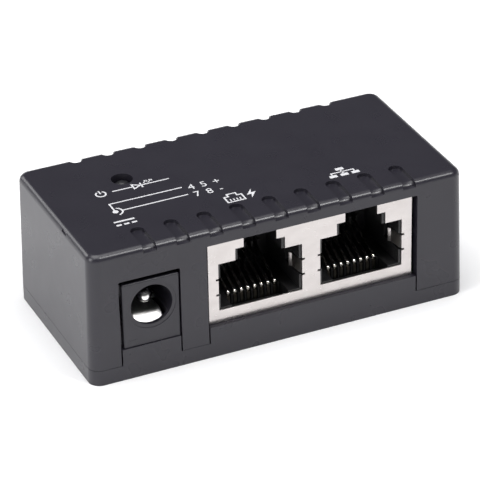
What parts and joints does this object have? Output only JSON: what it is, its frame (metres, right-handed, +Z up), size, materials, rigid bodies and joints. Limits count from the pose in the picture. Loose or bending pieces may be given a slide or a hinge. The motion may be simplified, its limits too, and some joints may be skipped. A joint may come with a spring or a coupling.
{
  "type": "poe injector",
  "caption": "Small two-part plastic box with a barrel power socket and two shielded modular jacks in one side, feeding DC power into a data cable.",
  "frame": {"origin": "middle of the underside, on the surface that it stands on", "axes": "+X along the long side, -Y out of the connector face, +Z up through the cover"},
  "size_m": [0.057, 0.0278, 0.02],
  "materials": {
    "case_plastic": "fine satin moulded texture, charcoal black",
    "jack_plastic": "satin black glass-filled nylon",
    "tin_plate": "bright tinned sheet",
    "nickel": "bright nickel plating",
    "gold": "thin gold flash on spring wire",
    "board": "green solder mask over glass laminate",
    "solder": "bright solder",
    "lens": "unlit smoked epoxy lens",
    "resistor_paint": "lacquered body with colour bands"
  },
  "bodies": {
    "base_unit": {"base": "case_plastic", "circuit_board": "board", "jack_shield": "tin_plate", "jack_shield_rear": "tin_plate", "jack_housing": "jack_plastic", "poe_contact_carrier": "jack_plastic", "lan_contact_carrier": "jack_plastic", "poe_contact_tails": "gold", "lan_contact_tails": "gold", "dc_jack_body": "jack_plastic", "dc_center_pin": "nickel", "dc_pin_terminal": "nickel", "dc_sleeve_terminal": "nickel", "dc_shunt_contact": "nickel", "power_led": "lens", "led_leads": "solder", "led_resistor": "resistor_paint", "resistor_leads": "solder", "solder_joints": "solder"},
    "cover_shell": {"cover": "case_plastic"},
    "poe_springs": {"poe_contact_springs": "gold"},
    "lan_springs": {"lan_contact_springs": "gold"},
    "dc_sleeve": {"dc_sleeve_spring": "nickel"}
  },
  "joints": [
    {"name": "cover_lift", "type": "slide", "parent": "base_unit", "child": "cover_shell", "axis": [0, 0, 1], "range_m": [0, 0.022]},
    {"name": "poe_spring_flex", "type": "hinge", "parent": "base_unit", "child": "poe_springs", "pos_m": [-0.00285, -0.00955, 0.007], "axis": [1, 0, 0], "range_deg": [-12, 0], "stiffness_Nm_per_rad": 0.05},
    {"name": "lan_spring_flex", "type": "hinge", "parent": "base_unit", "child": "lan_springs", "pos_m": [0.01255, -0.00955, 0.007], "axis": [1, 0, 0], "range_deg": [-12, 0], "stiffness_Nm_per_rad": 0.05},
    {"name": "dc_sleeve_flex", "type": "hinge", "parent": "base_unit", "child": "dc_sleeve", "pos_m": [-0.01934, -0.0033, 0.007], "axis": [1, 0, 0], "range_deg": [0, 4], "stiffness_Nm_per_rad": 0.05}
  ]
}
